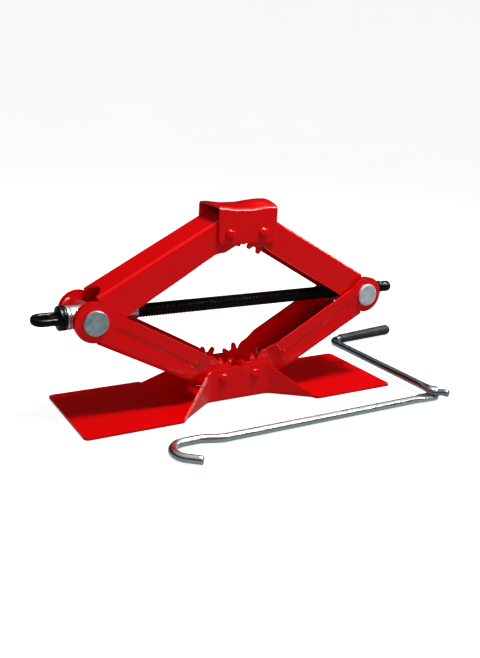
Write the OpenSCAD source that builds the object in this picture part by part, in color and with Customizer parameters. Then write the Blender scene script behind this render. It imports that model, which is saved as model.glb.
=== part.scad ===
// Scissor jack with its folding crank handle.
// Millimetres. +Z is up, +X runs along the lead screw away from its eye,
// and the origin is the middle of the base's underside.

/* [Linkage] */
// Length of each arm, from pin centre to pin centre
arm_len = 160; // [150:1:170]
// Angle of the arms above level in the drawn position, degrees
rest_angle = 28.4; // [24:0.1:34]
// Height of the two base pins above the ground
base_pin_z = 26; // [25:0.5:30]
// Half the distance between the paired gear pins
pin_half = 19.3; // [19.3:0.1:19.6]
// Sheet thickness of the pressed steel parts
sheet = 2.5; // [2:0.1:2.6]

/* [Gear teeth] */
// Teeth that a full circle would hold
gear_teeth = 10; // [10:1:10]
// Pressure angle of the tooth flanks, degrees
pressure_angle = 20; // [20:1:25]
// Radius over the tooth tips
tip_r = 23; // [22.5:0.1:23]
// Radius at the tooth roots
root_r = 14.9; // [14.5:0.1:15]
// Total play taken off each tooth's thickness
backlash = 0.4; // [0.3:0.05:0.6]

/* [Base] */
// Half length of the base
base_half_x = 182; // [175:1:190]
// Half width of the two wings
base_half_y = 58; // [55:1:60]
// Half distance between the outer faces of the two ears
ear_y = 24; // [24:0.1:24]
// Height of the ears
ear_z = 36.5; // [35:0.5:38]

/* [Arms] */
// Outer face of the narrow channel, from the middle plane
narrow_y = 21.2; // [21:0.1:21.2]
// Outer face of the wide end of the lower arms, from the middle plane
wide_y = 26; // [26:0.1:26.1]
// Where the lower arm starts to narrow, from its outer pin
joggle_from = 120; // [112:1:122]
// Where the lower arm has finished narrowing
joggle_to = 137; // [134:1:140]

/* [Saddle] */
// Half length of the saddle
saddle_half_x = 33; // [32:0.5:34]
// How far the saddle's cheeks reach below its pins
saddle_drop = 10; // [9:0.5:11]
// Height of the load face above the saddle pins
saddle_rise = 25.2; // [25:0.1:26]

/* [Screw] */
// Radius over the thread
screw_r = 7; // [6.8:0.05:7.1]
// Length of screw beyond the bearing pin
screw_reach = 375; // [370:1:385]
// Radius of the two screw pins' heads
cap_r = 12.75; // [12:0.25:13]

/* [Handle] */
// Radius of the bar that the handle is bent from
bar_r = 4.25; // [4:0.05:4.4]
// Inside of the hook, to the bar's centre line
hook_r = 17.5; // [16:0.5:19]
// Length of the crank from hinge to elbow
crank_len = 199.9; // [190:0.1:205]
// Radius of the grip at its far end
grip_r = 6.9; // [6.6:0.05:7]

/* [Hidden] */
$fn = 64;
eps = 0.01;
run = 0.06;      // radial running clearance of a pin in its hole
px1 = pin_half + arm_len*cos(rest_angle);       // screw pins, along X
pz1 = base_pin_z + arm_len*sin(rest_angle);     // screw height
pz2 = base_pin_z + 2*arm_len*sin(rest_angle);   // saddle pin height
pitch_r = pin_half;
gear_rb = pitch_r*cos(pressure_angle);
tooth_t = PI*pitch_r/gear_teeth - backlash/2;
pin_r = 4;       // base and saddle rivets
jour_r = 8;      // journals of the screw pins
scr_y0 = 18.4;   // half length of the screw pins' thick middle
hinge_x = 197;
hinge_y = -110.5;
crank_a = 87.26; // direction of the crank in plan
grip_a = 6.96;   // direction of the grip in plan
bend_r = bar_r + 0.05;   // a bend is a hair thicker than the bars let into it
bar_z = bend_r;
crank_z0 = 10.3;
crank_z1 = grip_r;

red = [0.85, 0.06, 0.09];
zinc = [0.74, 0.76, 0.78];
black = [0.07, 0.07, 0.08];

// ---- small helpers -------------------------------------------------------
function pol(r, a) = [r*cos(a), r*sin(a)];
function unit(v) = v/norm(v);
function wrap(x) = x > 180 ? x - 360 : (x < -180 ? x + 360 : x);
// points of an arc of radius r that rounds the corner p0-p1-p2
function corner(p0, p1, p2, r, n = 6) =
  let (a = unit(p0 - p1), b = unit(p2 - p1), h = acos(a*b)/2,
       c = p1 + unit(a + b)*(r/sin(h)), s = p1 + a*(r/tan(h)) - c, e = p1 + b*(r/tan(h)) - c,
       a0 = atan2(s[1], s[0]), da = wrap(atan2(e[1], e[0]) - a0))
  [for (i = [0:n]) c + pol(r, a0 + da*i/n)];
function rounded(p, rs, n = 6) = let (k = len(p))
  [for (i = [0:k-1]) each (rs[i] > 0 ? corner(p[(i + k - 1) % k], p[i], p[(i + 1) % k], rs[i], n) : [p[i]])];
function smooth(t) = t <= 0 ? 0 : (t >= 1 ? 1 : t*t*(3 - 2*t));
function inv(a) = tan(a) - a*PI/180;

// a 2D shape in (x, z) given thickness along y, from y0 to y1
module along_y(y0, y1) translate([0, y1, 0]) rotate([90, 0, 0]) linear_extrude(y1 - y0) children();
// a 2D shape in (y, z) given thickness along x, from x0 to x1
module along_x(x0, x1) translate([x0, 0, 0]) rotate([90, 0, 90]) linear_extrude(x1 - x0) children();
// plain round bars along Y and X
module rod_y(r, y0, y1) translate([0, y1, 0]) rotate([90, 0, 0]) cylinder(r = r, h = y1 - y0);
module rod_x(r, x0, x1) translate([x0, 0, 0]) rotate([0, 90, 0]) cylinder(r = r, h = x1 - x0);
// a round bar between two points
module bar(p, q, r) {
  d = q - p; l = norm(d);
  translate(p) rotate([0, acos(d[2]/l), atan2(d[1], d[0])]) cylinder(r = r, h = l);
}

// ---- gear sector ---------------------------------------------------------
// half the angle that a tooth takes at radius r
function tooth_half(r) = (tooth_t/2/pitch_r + inv(pressure_angle) - inv(acos(min(1, gear_rb/r))))*180/PI;
tooth_rs = [for (i = [0:6]) gear_rb + (tip_r - 0.75 - gear_rb)*i/6];
tooth_pts = concat(
  [pol(root_r - 2, -tooth_half(gear_rb) - 0.5)],
  [for (r = tooth_rs) pol(r, -tooth_half(r))],
  [pol(tip_r - 0.2, -tooth_half(tip_r - 0.75)*0.6), pol(tip_r, 0), pol(tip_r - 0.2, tooth_half(tip_r - 0.75)*0.6)],
  [for (i = [6:-1:0]) pol(tooth_rs[i], tooth_half(tooth_rs[i]))],
  [pol(root_r - 2, tooth_half(gear_rb) + 0.5)]);
// a disc with teeth at the angles in the list
module gear_2d(angles) {
  circle(r = root_r);
  for (a = angles) rotate(a) polygon(tooth_pts);
}
// Tooth angles on the left-hand and right-hand arms, in the arm's own frame.
// The two sets are half a pitch apart, so that the sectors mesh.
teeth_left = [for (i = [0:4]) rest_angle - 45 + 36*i];
teeth_right = [for (i = [0:3]) rest_angle - 27 + 36*i];
teeth_toe = [for (i = [0:2]) rest_angle - 45 + 36*i];

// ---- arms ----------------------------------------------------------------
// An arm's own frame: outer pin at the origin, gear pin at [arm_len, 0, 0],
// +Z towards the open side of the channel, web on -Z.

// side view of the lower arm's two walls
module lower_side(teeth) {
  L = arm_len;
  difference() {
    union() {
      circle(r = 19.8);
      polygon([[0, 16.6], [14, 16.3], [L - 17, 15.5], [L - 12, 13.4], [L - 6, 0],
               [L - 6, -16.3], [14, -18.3], [0, -18.6]]);
      translate([L, 0]) polygon(concat([[0, 0]], [for (a = [-125:5:-45]) pol(19.3, a)]));
      translate([L, 0]) gear_2d(teeth);
    }
  }
}
// plan of one lower wall: wide, stepping in, then narrow
module lower_wall_plan() {
  j0 = joggle_from; j1 = joggle_to;
  polygon(concat([[-25, wide_y]],
    [for (i = [0:8]) [j0 + (j1 - j0)*i/8, wide_y + (narrow_y - wide_y)*smooth(i/8)]],
    [[arm_len + 26, narrow_y], [arm_len + 26, narrow_y - sheet]],
    [for (i = [8:-1:0]) [j0 + (j1 - j0)*i/8, wide_y - sheet + (narrow_y - wide_y)*smooth(i/8)]],
    [[-25, wide_y - sheet]]));
}
// plan of the whole lower channel, for the web
module lower_web_plan() {
  j0 = joggle_from; j1 = joggle_to;
  polygon(concat([[-25, wide_y]],
    [for (i = [0:8]) [j0 + (j1 - j0)*i/8, wide_y + (narrow_y - wide_y)*smooth(i/8)]],
    [[arm_len + 26, narrow_y], [arm_len + 26, -narrow_y]],
    [for (i = [8:-1:0]) [j0 + (j1 - j0)*i/8, -wide_y - (narrow_y - wide_y)*smooth(i/8)]],
    [[-25, -wide_y]]));
}
// rounds the outer edge where a web meets a wall
module edge_round(len, r) difference() {
  translate([0, -1, -1]) cube([len, r + 1, r + 1]);
  translate([-1, r, r]) rotate([0, 90, 0]) cylinder(r = r, h = len + 2);
}
module lower_arm(teeth) {
  L = arm_len;
  difference() {
    union() {
      for (m = [0, 1]) mirror([0, m, 0]) intersection() {
        translate([0, 0, -30]) linear_extrude(60) lower_wall_plan();
        along_y(10, 30) lower_side(teeth);
      }
      intersection() {
        translate([0, 0, -30]) linear_extrude(60) lower_web_plan();
        along_y(-30, 30) polygon([[12.6, -18.32], [L - 9, -16.33], [L - 9, -16.33 + sheet], [12.6, -18.32 + sheet]]);
      }
    }
    // curved end of the web round the screw
    translate([6.5, 0, -25]) cylinder(r = 18.2, h = 14);
    // outer pin and gear pin
    rod_y(jour_r + run, -40, 40);
    translate([L, 0, 0]) rod_y(pin_r + run, -40, 40);
    // pressed flute along each wall
    for (m = [0, 1]) mirror([0, m, 0]) translate([0, wide_y - 0.8, 0]) {
      translate([0, 0, 0]) along_y(0, 2) polygon([[30, -1.3], [112, -1.3], [112, 2.7], [30, 2.7]]);
      for (x = [30, 112]) translate([x, 0, 0.7]) rod_y(2, 0, 2);
    }
  }
}
// side view of the upper arm's walls
module upper_side(teeth) {
  L = arm_len;
  circle(r = 19.4);
  // the arm with fewer teeth ends in a plain toe
  toe = len(teeth) < 4 ? [[L - 40, 13.2], [L - 20, 13.8], [L - 12.2, 15.05], [L - 4, 15.6], [L - 1.5, 14.8]]
                       : [[L - 40, 13], [L - 18, 12.6], [L - 10, 11]];
  polygon(concat([[0, 15], [20, 15]], toe, [[L - 6, 0], [L - 6, -18], [12.6, -18], [0, -18]]));
  translate([L, 0]) polygon(concat([[0, 0]], [for (a = [-125:5:-45]) pol(19.3, a)]));
  translate([L, 0]) gear_2d(teeth);
}
module upper_arm(teeth) {
  L = arm_len;
  difference() {
    union() {
      for (m = [0, 1]) mirror([0, m, 0]) along_y(narrow_y - sheet, narrow_y) upper_side(teeth);
      translate([12.6, -narrow_y, -18]) cube([L - 12.6 - 8, 2*narrow_y, sheet]);
    }
    translate([6.5, 0, -25]) cylinder(r = 18.2, h = 14);
    rod_y(jour_r + run, -40, 40);
    translate([L, 0, 0]) rod_y(pin_r + run, -40, 40);
    for (m = [0, 1]) mirror([0, m, 0]) translate([12, -narrow_y, -18]) edge_round(L - 12 - 7.5, 3.5);
  }
}

// ---- base and saddle -----------------------------------------------------
flare = unit([80.66 - 36, 58 - ear_y]);
module base_outline(t) {
  // t is how far inside the outer outline this one lies
  n = [flare[1], -flare[0]]*t;
  yi = ear_y - t; yo = base_half_y - t;
  p = [36, ear_y] + n;
  xa = p[0] + flare[0]/flare[1]*(yi - p[1]);
  xb = p[0] + flare[0]/flare[1]*(yo - p[1]);
  e = t > 0 ? base_half_x + 8 : base_half_x;
  q = [[xa, yi], [xb, yo], [e, yo], [e, -yo], [xb, -yo], [xa, -yi],
       [-xa, -yi], [-xb, -yo], [-e, -yo], [-e, yo], [-xb, yo], [-xa, yi]];
  ra = 14 + t; rb = 9 - t; rc = t > 0 ? 0 : 5;
  polygon(rounded(q, [ra, rb, rc, rc, rb, ra, ra, rb, rc, rc, rb, ra]));
}
module base_plate() color(red) difference() {
  union() {
    linear_extrude(sheet) base_outline(0);
    intersection() {
      difference() {
        linear_extrude(ear_z + 1) base_outline(0);
        translate([0, 0, -1]) linear_extrude(ear_z + 3) base_outline(sheet);
      }
      along_y(-70, 70) polygon(rounded(
        [[-80.5, 0], [80.5, 0], [80.5, sheet], [32, ear_z], [-32, ear_z], [-80.5, sheet]],
        [0, 0, 0, 9, 9, 0]));
    }
  }
  for (s = [-1, 1]) translate([s*pin_half, 0, base_pin_z]) rod_y(pin_r + 0.02, -40, 40);
}
function saddle_top(x) = pz2 + saddle_rise + (x < 0 ? 2.4*smooth((-x - 9)/22) : 5.9*smooth((x - 9)/24));
module saddle_profile(t, e) {
  h = saddle_half_x;
  polygon(concat(
    [for (i = [0:22]) let (x = -h - e + (2*h + 2*e)*i/22) [x, saddle_top(x) - t]],
    t > 0 ? [[h + e, pz2 - 30], [-h - e, pz2 - 30]]
          : concat(corner([h, pz2], [h, pz2 - saddle_drop], [0, pz2 - saddle_drop], 5),
                   corner([0, pz2 - saddle_drop], [-h, pz2 - saddle_drop], [-h, pz2], 5))));
}
module saddle_section(t) {
  // crowned across its width, with rounded shoulders
  y = ear_y - t; z = pz2 + 27.8 - t; r = 4 - t*0.8;
  polygon(concat([[y, pz2 - 30]], [for (a = [0:18:72]) [y - r + r*cos(a), z - r + r*sin(a)]],
    [for (i = [0:12]) let (s = (y - r)*(1 - i/6)) [s, z + 3.4*(1 - pow(s/(y - r), 2))]],
    [for (a = [108:18:180]) [-y + r + r*cos(a), z - r + r*sin(a)]], [[-y, pz2 - 30]]));
}
module saddle() color(red) difference() {
  intersection() {
    along_y(-ear_y, ear_y) saddle_profile(0, 0);
    along_x(-40, 40) saddle_section(0);
  }
  intersection() {
    along_y(-ear_y, ear_y) saddle_profile(sheet, 2);
    along_x(-41, 41) saddle_section(sheet);
  }
  for (s = [-1, 1]) translate([s*pin_half, 0, pz2]) rod_y(pin_r + 0.02, -40, 40);
}

// ---- rivets --------------------------------------------------------------
// a long rivet along Y, domed at both ends
module long_rivet(r, y, head_r, head_h) rotate([90, 0, 0]) rotate_extrude() polygon(concat(
  [[0, -y - head_h]], [for (a = [75:-15:0]) [head_r*cos(a), -y - head_h*sin(a)]], [[r, -y], [r, y]],
  [for (a = [0:15:75]) [head_r*cos(a), y + head_h*sin(a)]], [[0, y + head_h]]));
module pin_at(x, z) color(red) translate([x, 0, z]) long_rivet(pin_r, ear_y, 5.6, 3);

// ---- screw pins ----------------------------------------------------------
module trunnion() {
  rod_y(11, -scr_y0, scr_y0);
  rod_y(jour_r, -wide_y - 0.3, wide_y + 0.3);
}
module bearing_trunnion() color(zinc) translate([-px1, 0, pz1]) difference() {
  trunnion();
  rod_x(screw_r + 0.08, -20, 20);
}
module nut_trunnion() color(zinc) translate([px1, 0, pz1]) difference() {
  trunnion();
  rod_x(screw_r + 0.08, -20, 20);
}
module caps() for (m = [0, 1]) mirror([0, m, 0]) translate([0, wide_y + 0.3, 0]) rotate([-90, 0, 0])
  rotate_extrude() polygon([[0, 0], [cap_r - 0.3, 0], [cap_r, 0.3], [cap_r, 2.6], [cap_r - 0.6, 3.2], [0, 3.2]]);
module washers() for (m = [0, 1]) mirror([0, m, 0]) difference() {
  rod_y(13, narrow_y + 0.3, wide_y - sheet - 0.3);
  rod_y(jour_r + 0.02, 10, 30);
}

// ---- thrust bearing, screw and eye --------------------------------------
module bearing_sleeve() color(zinc) translate([-px1, 0, pz1]) difference() {
  rod_x(11.25, -15.6, -5.2);
  rod_x(screw_r + 0.08, -20, 0);
  rod_y(11, -20, 20);
}
module thrust_washer() color([0.85, 0.86, 0.88]) translate([-px1, 0, pz1]) difference() {
  rod_x(11.7, -17.1, -15.6);
  rod_x(screw_r + 0.08, -20, 0);
}
ball_n = 10;
ball_x = -18.8;
module bearing_balls() color([0.8, 0.82, 0.84]) translate([-px1, 0, pz1])
  for (i = [0:ball_n-1]) rotate([i*360/ball_n, 0, 0]) translate([ball_x, 0, 8.9]) sphere(r = 1.4, $fn = 32);
module ball_cage() color([0.72, 0.6, 0.35]) translate([-px1, 0, pz1]) difference() {
  rod_x(10.6, ball_x - 0.4, ball_x + 0.4);
  rod_x(7.2, ball_x - 1, ball_x + 1);
  for (i = [0:ball_n-1]) rotate([i*360/ball_n, 0, 0]) translate([0, 0, 8.9]) rod_x(1.45, ball_x - 1, ball_x + 1);
}
module bearing_cup() color([0.85, 0.86, 0.88]) translate([-px1, 0, pz1]) difference() {
  rod_x(11.7, -20.8, -17.6);
  rod_x(10.9, -20.2, -17);
  rod_x(screw_r, -30, 0);
}
module lead_screw() color(black) translate([-px1, 0, pz1]) rotate([0, 90, 0]) translate([0, 0, -28.1])
  rotate_extrude() polygon(concat([[0, 0], [screw_r, 0], [screw_r, screw_reach + 14.4], [5.7, screw_reach + 15.2],
    [5.7, screw_reach + 17.6], [6.2, screw_reach + 18.2]],
    [for (a = [0:15:75]) [6.2 - 3.4 + 3.4*cos(a), screw_reach + 24.7 + 3.4*sin(a)]],
    [[0, screw_reach + 28.1]]));
// the eye that the handle hooks into: a collar and a flat link
module screw_eye() color(black) translate([-px1, 0, pz1]) rotate([6, 0, 0]) difference() {
  union() {
    rotate([0, -90, 0]) translate([0, 0, 21]) rotate_extrude()
      polygon([[0, 0], [11.6, 0], [12, 0.4], [12, 2.5], [11.5, 3], [11.5, 3.3], [12, 3.8], [12, 6.2], [11.4, 7], [0, 7]]);
    translate([0, 0, -3.6]) linear_extrude(7.2) {
      translate([-42.7, 0]) circle(r = 10.7);
      polygon([[-42.7, 10.7], [-42.7, -10.7], [-32, -9.2], [-27.5, -10], [-27.5, 10], [-32, 9.2]]);
    }
  }
  rod_x(screw_r, -28.1, 0);
  translate([0, 0, -20]) linear_extrude(40) {
    translate([-42.7, 0]) circle(r = 4.9);
    translate([-36.6, 0]) circle(r = 4.9);
    translate([-42.7, -4.9]) square([6.1, 9.8]);
  }
}
module stop_sleeve() color(zinc) translate([-px1, 0, pz1]) rotate([0, 90, 0]) rotate_extrude()
  polygon([[screw_r, 11.4], [8.6, 11.4], [8.6, 45.5], [7.5, 51.5], [screw_r, 51.5]]);

// ---- handle --------------------------------------------------------------
hx = -104; hy = -121;      // middle of the hook's bend
// the small set behind the hook: two bends of radius set_r
set_r = 25;
set_y = hy + hook_r - hinge_y;
set_a = atan(set_y/23);
set_l = set_r*tan(set_a/2);
set_q = [-66 + set_l, hinge_y];
set_p = [-89, hy + hook_r] + pol(set_l, -set_a);
function flat(p, z) = [p[0], p[1], z];
// a bend that starts at p with heading a and turns by t degrees on radius r
function bend_c(p, a, t, r) = p + pol(r, a + 90*sign(t));
function bend_end(p, a, t, r) = bend_c(p, a, t, r) + pol(r, a - 90*sign(t) + t);
module bend(p, a, t, r, z) translate(flat(bend_c(p, a, t, r), z))
  rotate([0, 0, t > 0 ? a - 90 : a + 90 + t]) rotate_extrude(angle = abs(t)) translate([r, 0]) circle(r = bend_r);
// a straight bar from p to q, let into the bends at its ends by i and j
module run_bar(p, q, zp, zq, i, j) {
  u = (q - p)/norm(q - p);
  bar(flat(p - u*i, zp), flat(q + u*j, zq), bar_r);
}
module hook_rod() color(zinc) difference() {
  union() {
    // shank
    run_bar([hinge_x - 19.6, hinge_y], set_q, bar_z, bar_z, 0, 0.6);
    // the small set behind the hook
    bend(set_q, 180, -set_a, set_r, bar_z);
    run_bar(bend_end(set_q, 180, -set_a, set_r), set_p, bar_z, bar_z, 0.6, 0.6);
    bend(set_p, 180 - set_a, set_a, set_r, bar_z);
    run_bar(bend_end(set_p, 180 - set_a, set_a, set_r), [hx, hy + hook_r], bar_z, bar_z, 0.6, 0.6);
    // hook and its free end
    bend([hx, hy + hook_r], 180, 141, hook_r, bar_z);
    e = bend_end([hx, hy + hook_r], 180, 141, hook_r);
    run_bar(e, e + pol(14, -39), bar_z, bar_z, 0.6, 0);
    // flattened end round the hinge
    translate([hinge_x, hinge_y, 1.25]) linear_extrude(6) {
      circle(r = 6.8);
      polygon([[-22, -2.6], [-12, -6.2], [0, -6.8], [0, 6.8], [-12, 6.2], [-22, 2.6]]);
    }
  }
  translate([hinge_x, hinge_y, -5]) cylinder(r = 3 + run, h = 20);
}
elbow_r = 13;
turn = crank_a - grip_a;                    // how far the bar turns at the elbow
lead = elbow_r*tan(turn/2);                 // straight lost to the bend on each side
elbow = [hinge_x, hinge_y] + pol(crank_len, crank_a);
spindle_len = 96;
module crank_arm() color(zinc) difference() {
  union() {
    // flattened eye on top of the rod's
    translate([hinge_x, hinge_y, 7.55]) {
      cylinder(r = 6.8, h = 5.5);
      rotate([0, 0, crank_a]) translate([0, -6.2, 0]) cube([14, 12.4, 5.5]);
    }
    // tail beyond the hinge
    h = [hinge_x, hinge_y];
    bar(flat(h + pol(6, -80), 12.3), flat(h + pol(18.5, -76), 13.1), bar_r);
    // arm, sloping down to the grip's height
    s1 = h + pol(crank_len - lead, crank_a);
    run_bar(h + pol(11, crank_a), s1, crank_z0, crank_z1, 0, 0.6);
    // elbow
    bend(s1, crank_a, -turn, elbow_r, crank_z1);
    // spindle under the grip
    run_bar(elbow + pol(lead, grip_a), elbow + pol(spindle_len, grip_a), crank_z1, crank_z1, 0.6, 0);
  }
  translate([hinge_x, hinge_y, 0]) cylinder(r = 3 + 0.02, h = 20);
  translate([hinge_x, hinge_y, 2.55]) cylinder(r = 9.5, h = 5);
  translate([hinge_x, hinge_y, 13.05]) cylinder(r = 7.2, h = 8);
}
module hinge_rivet() color(zinc) translate([hinge_x, hinge_y, 0]) rotate_extrude() polygon(concat(
  [[0, 0.15], [3.8, 0.15], [4.4, 0.95], [3, 0.95], [3, 13.05]], [for (a = [0:15:75]) [6.4*cos(a), 13.05 + 2.9*sin(a)]], [[0, 15.95]]));
module on_grip(d) translate(flat(elbow + pol(d, grip_a), crank_z1)) rotate([0, 90, grip_a]) children();
grip_from = 15.6;
grip_len = 93;
module grip_sleeve() color([0.11, 0.11, 0.12]) on_grip(grip_from) rotate_extrude() polygon(concat(
  [[bar_r + 0.08, 0], [5.3, 0], [5.9, 0.8]],
  [[grip_r, grip_len - 6]],
  [for (a = [15:15:75]) [grip_r - 4 + 4*cos(a), grip_len - 6 + 6*sin(a)]],
  [[0, grip_len], [0, grip_len - 3], [5.5, grip_len - 6], [5.5, grip_len - 18], [bar_r + 0.08, grip_len - 18]]));
module grip_retainer() color(zinc) on_grip(spindle_len - 4) difference() {
  cylinder(r = 5.2, h = 1);
  translate([0, 0, -1]) cylinder(r = bar_r, h = 3);
}

// ---- placing -------------------------------------------------------------
module base_pin_left() pin_at(-pin_half, base_pin_z);
module base_pin_right() pin_at(pin_half, base_pin_z);
module saddle_pin_left() pin_at(-pin_half, pz2);
module saddle_pin_right() pin_at(pin_half, pz2);
module lower_arm_left() color(red) translate([-px1, 0, pz1]) rotate([0, rest_angle, 0]) lower_arm(teeth_left);
module lower_arm_right() color(red) mirror([1, 0, 0]) translate([-px1, 0, pz1]) rotate([0, rest_angle, 0]) lower_arm(teeth_right);
module upper_arm_left() color(red) translate([-px1, 0, pz1]) mirror([0, 0, 1]) rotate([0, rest_angle, 0]) upper_arm(teeth_toe);
module upper_arm_right() color(red) mirror([1, 0, 0]) translate([-px1, 0, pz1]) mirror([0, 0, 1]) rotate([0, rest_angle, 0]) upper_arm(teeth_right);
module trunnion_caps_left() color(zinc) translate([-px1, 0, pz1]) caps();
module trunnion_caps_right() color(zinc) translate([px1, 0, pz1]) caps();
module spacer_washers_left() color(zinc) translate([-px1, 0, pz1]) washers();
module spacer_washers_right() color(zinc) translate([px1, 0, pz1]) washers();

base_plate();
base_pin_left();
base_pin_right();
lower_arm_left();
lower_arm_right();
upper_arm_left();
upper_arm_right();
saddle();
saddle_pin_left();
saddle_pin_right();
bearing_trunnion();
nut_trunnion();
trunnion_caps_left();
trunnion_caps_right();
spacer_washers_left();
spacer_washers_right();
bearing_sleeve();
thrust_washer();
bearing_balls();
ball_cage();
bearing_cup();
lead_screw();
screw_eye();
stop_sleeve();
hook_rod();
crank_arm();
hinge_rivet();
grip_sleeve();
grip_retainer();
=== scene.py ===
import bpy, bmesh, math
import numpy as np
from mathutils import Vector, Matrix
from mathutils.geometry import delaunay_2d_cdt


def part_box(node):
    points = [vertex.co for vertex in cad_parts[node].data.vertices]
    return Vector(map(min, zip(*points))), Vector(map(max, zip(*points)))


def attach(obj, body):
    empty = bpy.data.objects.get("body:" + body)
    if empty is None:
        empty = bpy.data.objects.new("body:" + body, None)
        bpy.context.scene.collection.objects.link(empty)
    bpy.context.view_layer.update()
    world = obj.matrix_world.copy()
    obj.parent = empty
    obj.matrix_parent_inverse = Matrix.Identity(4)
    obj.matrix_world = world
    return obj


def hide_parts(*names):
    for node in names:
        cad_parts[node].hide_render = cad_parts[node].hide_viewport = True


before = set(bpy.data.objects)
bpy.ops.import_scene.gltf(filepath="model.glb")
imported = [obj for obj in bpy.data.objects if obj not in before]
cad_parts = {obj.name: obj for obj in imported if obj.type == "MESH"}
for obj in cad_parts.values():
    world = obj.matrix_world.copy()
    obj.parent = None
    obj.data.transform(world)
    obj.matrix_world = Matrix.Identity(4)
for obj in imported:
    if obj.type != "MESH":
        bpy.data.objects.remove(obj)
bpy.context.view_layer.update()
MM = 0.001
scene = bpy.context.scene


def mid(node):
    lo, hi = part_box(node)
    return (lo + hi) / 2 / MM


PXL, PXR = mid("trunnion_caps_left").x, mid("trunnion_caps_right").x
PZ1 = mid("trunnion_caps_left").z
BX, BZ = mid("base_pin_right").x, mid("base_pin_right").z
SZ = mid("saddle_pin_left").z
L = math.hypot(-BX - PXL, PZ1 - BZ)
TH = math.degrees(math.atan2(PZ1 - BZ, -BX - PXL))

# ------------------------------------------------------------------ camera
cam_data = bpy.data.cameras.new("camera")
cam = bpy.data.objects.new("camera", cam_data)
scene.collection.objects.link(cam)
scene.camera = cam
cam_data.lens = 41.935
cam_data.sensor_width = 36.0
cam_data.clip_start, cam_data.clip_end = 0.01, 50
a, e, r = math.radians(-30.97), math.radians(16.99), math.radians(3.02)
fwd = Vector((-math.sin(a) * math.cos(e), math.cos(a) * math.cos(e), -math.sin(e)))
right = Vector((math.cos(a), math.sin(a), 0))
up = right.cross(fwd)
r2 = right * math.cos(r) + up * math.sin(r)
u2 = up * math.cos(r) - right * math.sin(r)
m = Matrix((r2, u2, -fwd)).transposed().to_4x4()
m.translation = Vector((-0.39427, -0.67672, 0.31116))
cam.matrix_world = m


# --------------------------------------------------------------- materials
class Nodes:
    def __init__(self, name):
        self.m = bpy.data.materials.new(name)
        self.m.use_nodes = True
        self.t = self.m.node_tree
        self.b = self.t.nodes["Principled BSDF"]
        self.co = self.new("ShaderNodeTexCoord").outputs["Object"]

    def new(self, kind, **k):
        n = self.t.nodes.new(kind)
        for key, v in k.items():
            setattr(n, key, v)
        return n

    def link(self, a, b):
        self.t.links.new(a, b)

    def noise(self, scale, detail=4, rough=0.55, stretch=None, dist=0.0):
        n = self.new("ShaderNodeTexNoise")
        n.inputs["Scale"].default_value = scale
        n.inputs["Detail"].default_value = detail
        n.inputs["Roughness"].default_value = rough
        n.inputs["Distortion"].default_value = dist
        if stretch:
            mp = self.new("ShaderNodeMapping")
            mp.inputs["Scale"].default_value = stretch
            self.link(self.co, mp.inputs["Vector"])
            self.link(mp.outputs[0], n.inputs["Vector"])
        else:
            self.link(self.co, n.inputs["Vector"])
        return n.outputs["Fac"]

    def ramp(self, fac, stops):
        n = self.new("ShaderNodeValToRGB")
        el = n.color_ramp.elements
        while len(el) < len(stops):
            el.new(0.5)
        for s, (p, c) in zip(el, stops):
            s.position = p
            s.color = (*c, 1) if len(c) == 3 else c
        self.link(fac, n.inputs["Fac"])
        return n.outputs["Color"]

    def rangef(self, fac, a, b, lo=0.0, hi=1.0):
        n = self.new("ShaderNodeMapRange")
        n.inputs["From Min"].default_value = lo
        n.inputs["From Max"].default_value = hi
        n.inputs["To Min"].default_value = a
        n.inputs["To Max"].default_value = b
        self.link(fac, n.inputs["Value"])
        return n.outputs[0]

    def math(self, op, a, b):
        n = self.new("ShaderNodeMath", operation=op)
        for i, v in enumerate((a, b)):
            if isinstance(v, (int, float)):
                n.inputs[i].default_value = v
            else:
                self.link(v, n.inputs[i])
        return n.outputs[0]

    def mix(self, fac, a, b):
        n = self.new("ShaderNodeMix", data_type="RGBA")
        for i, v in ((0, fac), (6, a), (7, b)):
            if isinstance(v, (int, float)):
                n.inputs[i].default_value = v
            elif isinstance(v, tuple):
                n.inputs[i].default_value = (*v, 1)
            else:
                self.link(v, n.inputs[i])
        return n.outputs[2]

    def edge(self, lo=0.52, hi=0.62):
        g = self.new("ShaderNodeNewGeometry")
        return self.rangef(g.outputs["Pointiness"], 0.0, 1.0, lo, hi)

    def bump(self, *layers):
        prev = None
        for h, dist, strength in layers:
            n = self.new("ShaderNodeBump")
            n.inputs["Strength"].default_value = strength
            n.inputs["Distance"].default_value = dist
            self.link(h, n.inputs["Height"])
            if prev is not None:
                self.link(prev, n.inputs["Normal"])
            prev = n.outputs[0]
        self.link(prev, self.b.inputs["Normal"])

    def set(self, **k):
        for key, v in k.items():
            s = self.b.inputs[key.replace("_", " ")]
            if isinstance(v, (int, float)):
                s.default_value = v
            elif isinstance(v, tuple):
                s.default_value = (*v, 1)
            else:
                self.link(v, s)


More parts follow.
